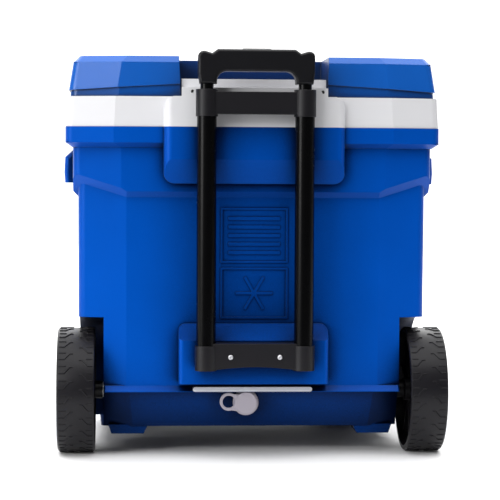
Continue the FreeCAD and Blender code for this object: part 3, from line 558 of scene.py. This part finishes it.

# %% [markdown]
# ## Hinge access marks
#
# Two small dark marks sit on the white wall, level with the hinge line that runs behind it.  Their purpose
# is a guess: they could be where the hinge pins were driven in.  Each one is a tiny five-sided insert
# whose lip stands a hair proud of the white face round a lower bed.  The inserts take the black bracket
# nylon, so their black is painted shade: it stands for the shade inside a small hollow in the wall, which
# is not cut here.

# %% Hinge access marks
MARK_FACE = -206.0
MARK_Z = 470.0
MARK_X = (-80.0, 86.5)
MARK_OUTLINE = [(-2.0, 1.6), (0.6, 2.4), (2.0, 0.4), (1.2, -2.2), (-0.9, -1.4)]
BED_SHARE = 0.6            # the bed is this much smaller than the lip


def hinge_mark(bm, x, hand):
    """A small insert: a ring buried in the wall, a lip outside and a bed within the lip."""
    rings = []
    for depth, share in ((0.5, 1.0), (-0.30, 1.0), (-0.10, BED_SHARE)):
        y = (MARK_FACE + depth) * MM
        rings.append([bm.verts.new(((x + hand * share * a) * MM, y, (MARK_Z + share * b) * MM))
                      for a, b in MARK_OUTLINE])
    buried, lip, bed = rings
    corners = len(MARK_OUTLINE)
    for low, high in ((buried, lip), (lip, bed)):
        for i in range(corners):
            j = (i + 1) % corners
            bm.faces.new((low[i], low[j], high[j], high[i]))
    bm.faces.new(bed)
    bm.faces.new(buried[::-1])


bm = bmesh.new()
for x, hand in zip(MARK_X, (-1, 1)):
    hinge_mark(bm, x, hand)
# The black of these inserts is painted shade, standing for the shade inside a small hollow.
marks = mesh_object("hinge_marks_painted_shade", bm, NYLON)
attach(marks, "body")
print("hinge marks:", len(marks.data.polygons), "faces")

# %% [markdown]
# ## Floor and light
#
# A white sweep under a wide overhead light gives a clean floor with a soft
# contact shadow.  The main light stands far to the left, so the shallow corner
# facets step down in tone from left to right.  A smaller panel stands where
# the lid's left facet mirrors it, which is what puts the pale sheen there.
# The lit backdrop is a clean background and a soft light on the edges.  The
# sweep ends just below the camera's view, because a white floor that reached
# the camera would fill the dark base with light.

# %% Floor and lights
SWEEP_HALF = 9.0
FLOOR_FRONT = -0.62
BACKDROP_Y = 7.5
BACKDROP_TOP = 9.0
BACKDROP_GLOW = 1.5
WORLD_GLOW = 0.14
# Each light: where it stands, what it faces, its width and height, its watts.
LIGHTS = {
    "key": ((-3.4, -2.2, 1.0), (0, -0.1, 0.3), (1.6, 1.6), 66),
    "lid_sheen": ((-1.66, -2.7, 1.62), (-0.2, -0.19, 0.49), (0.9, 0.7), 26),
    "overhead": ((0, 2.2, 3.2), (0, 2.2, 0), (5.5, 10.6), 518),
}


def area_light(name, at, aim, size, watts):
    """A soft rectangular lamp that faces a point."""
    data = bpy.data.lights.new(name, "AREA")
    data.shape = "RECTANGLE"
    data.size, data.size_y = size
    data.energy = watts
    light = bpy.data.objects.new(name, data)
    light.location = at
    light.rotation_euler = (Vector(aim) - Vector(at)).to_track_quat("-Z", "Y").to_euler()
    bpy.context.scene.collection.objects.link(light)


def stage_sheet(name, corners, material):
    """One flat four-cornered sheet that belongs to the set."""
    mesh = bpy.data.meshes.new(name)
    mesh.from_pydata(corners, [], [(0, 1, 2, 3)])
    sheet = bpy.data.objects.new(name, mesh)
    bpy.context.scene.collection.objects.link(sheet)
    mesh.materials.append(material)


# Matt studio paper: almost white, with hardly any shine.
paper, tree = new_material("white_paper_sweep")
shader = add(tree, "ShaderNodeBsdfPrincipled",
             {"Base Color": linear("FCFCFC"), "Roughness": 0.7, "Specular IOR Level": 0.2})
add(tree, "ShaderNodeOutputMaterial", links={"Surface": shader.outputs["BSDF"]})
stage_sheet("floor", [(-SWEEP_HALF, FLOOR_FRONT, 0), (SWEEP_HALF, FLOOR_FRONT, 0),
                      (SWEEP_HALF, BACKDROP_Y, 0), (-SWEEP_HALF, BACKDROP_Y, 0)], paper)

# Stretched cloth lit from behind: an even glow with no shading of its own.
lit, tree = new_material("lit_backdrop_cloth")
glow = add(tree, "ShaderNodeEmission", {"Color": linear("FFFFFF"), "Strength": BACKDROP_GLOW})
add(tree, "ShaderNodeOutputMaterial", links={"Surface": glow.outputs["Emission"]})
stage_sheet("backdrop", [(-SWEEP_HALF, BACKDROP_Y, 0), (SWEEP_HALF, BACKDROP_Y, 0),
                         (SWEEP_HALF, BACKDROP_Y, BACKDROP_TOP),
                         (-SWEEP_HALF, BACKDROP_Y, BACKDROP_TOP)], lit)

world = bpy.data.worlds.new("studio")
world.use_nodes = True
world.node_tree.nodes["Background"].inputs["Color"].default_value = linear("FFFFFF")
world.node_tree.nodes["Background"].inputs["Strength"].default_value = WORLD_GLOW
bpy.context.scene.world = world
for lamp, (at, aim, size, watts) in LIGHTS.items():
    area_light(lamp, at, aim, size, watts)

# %% Finish
print("scene built")
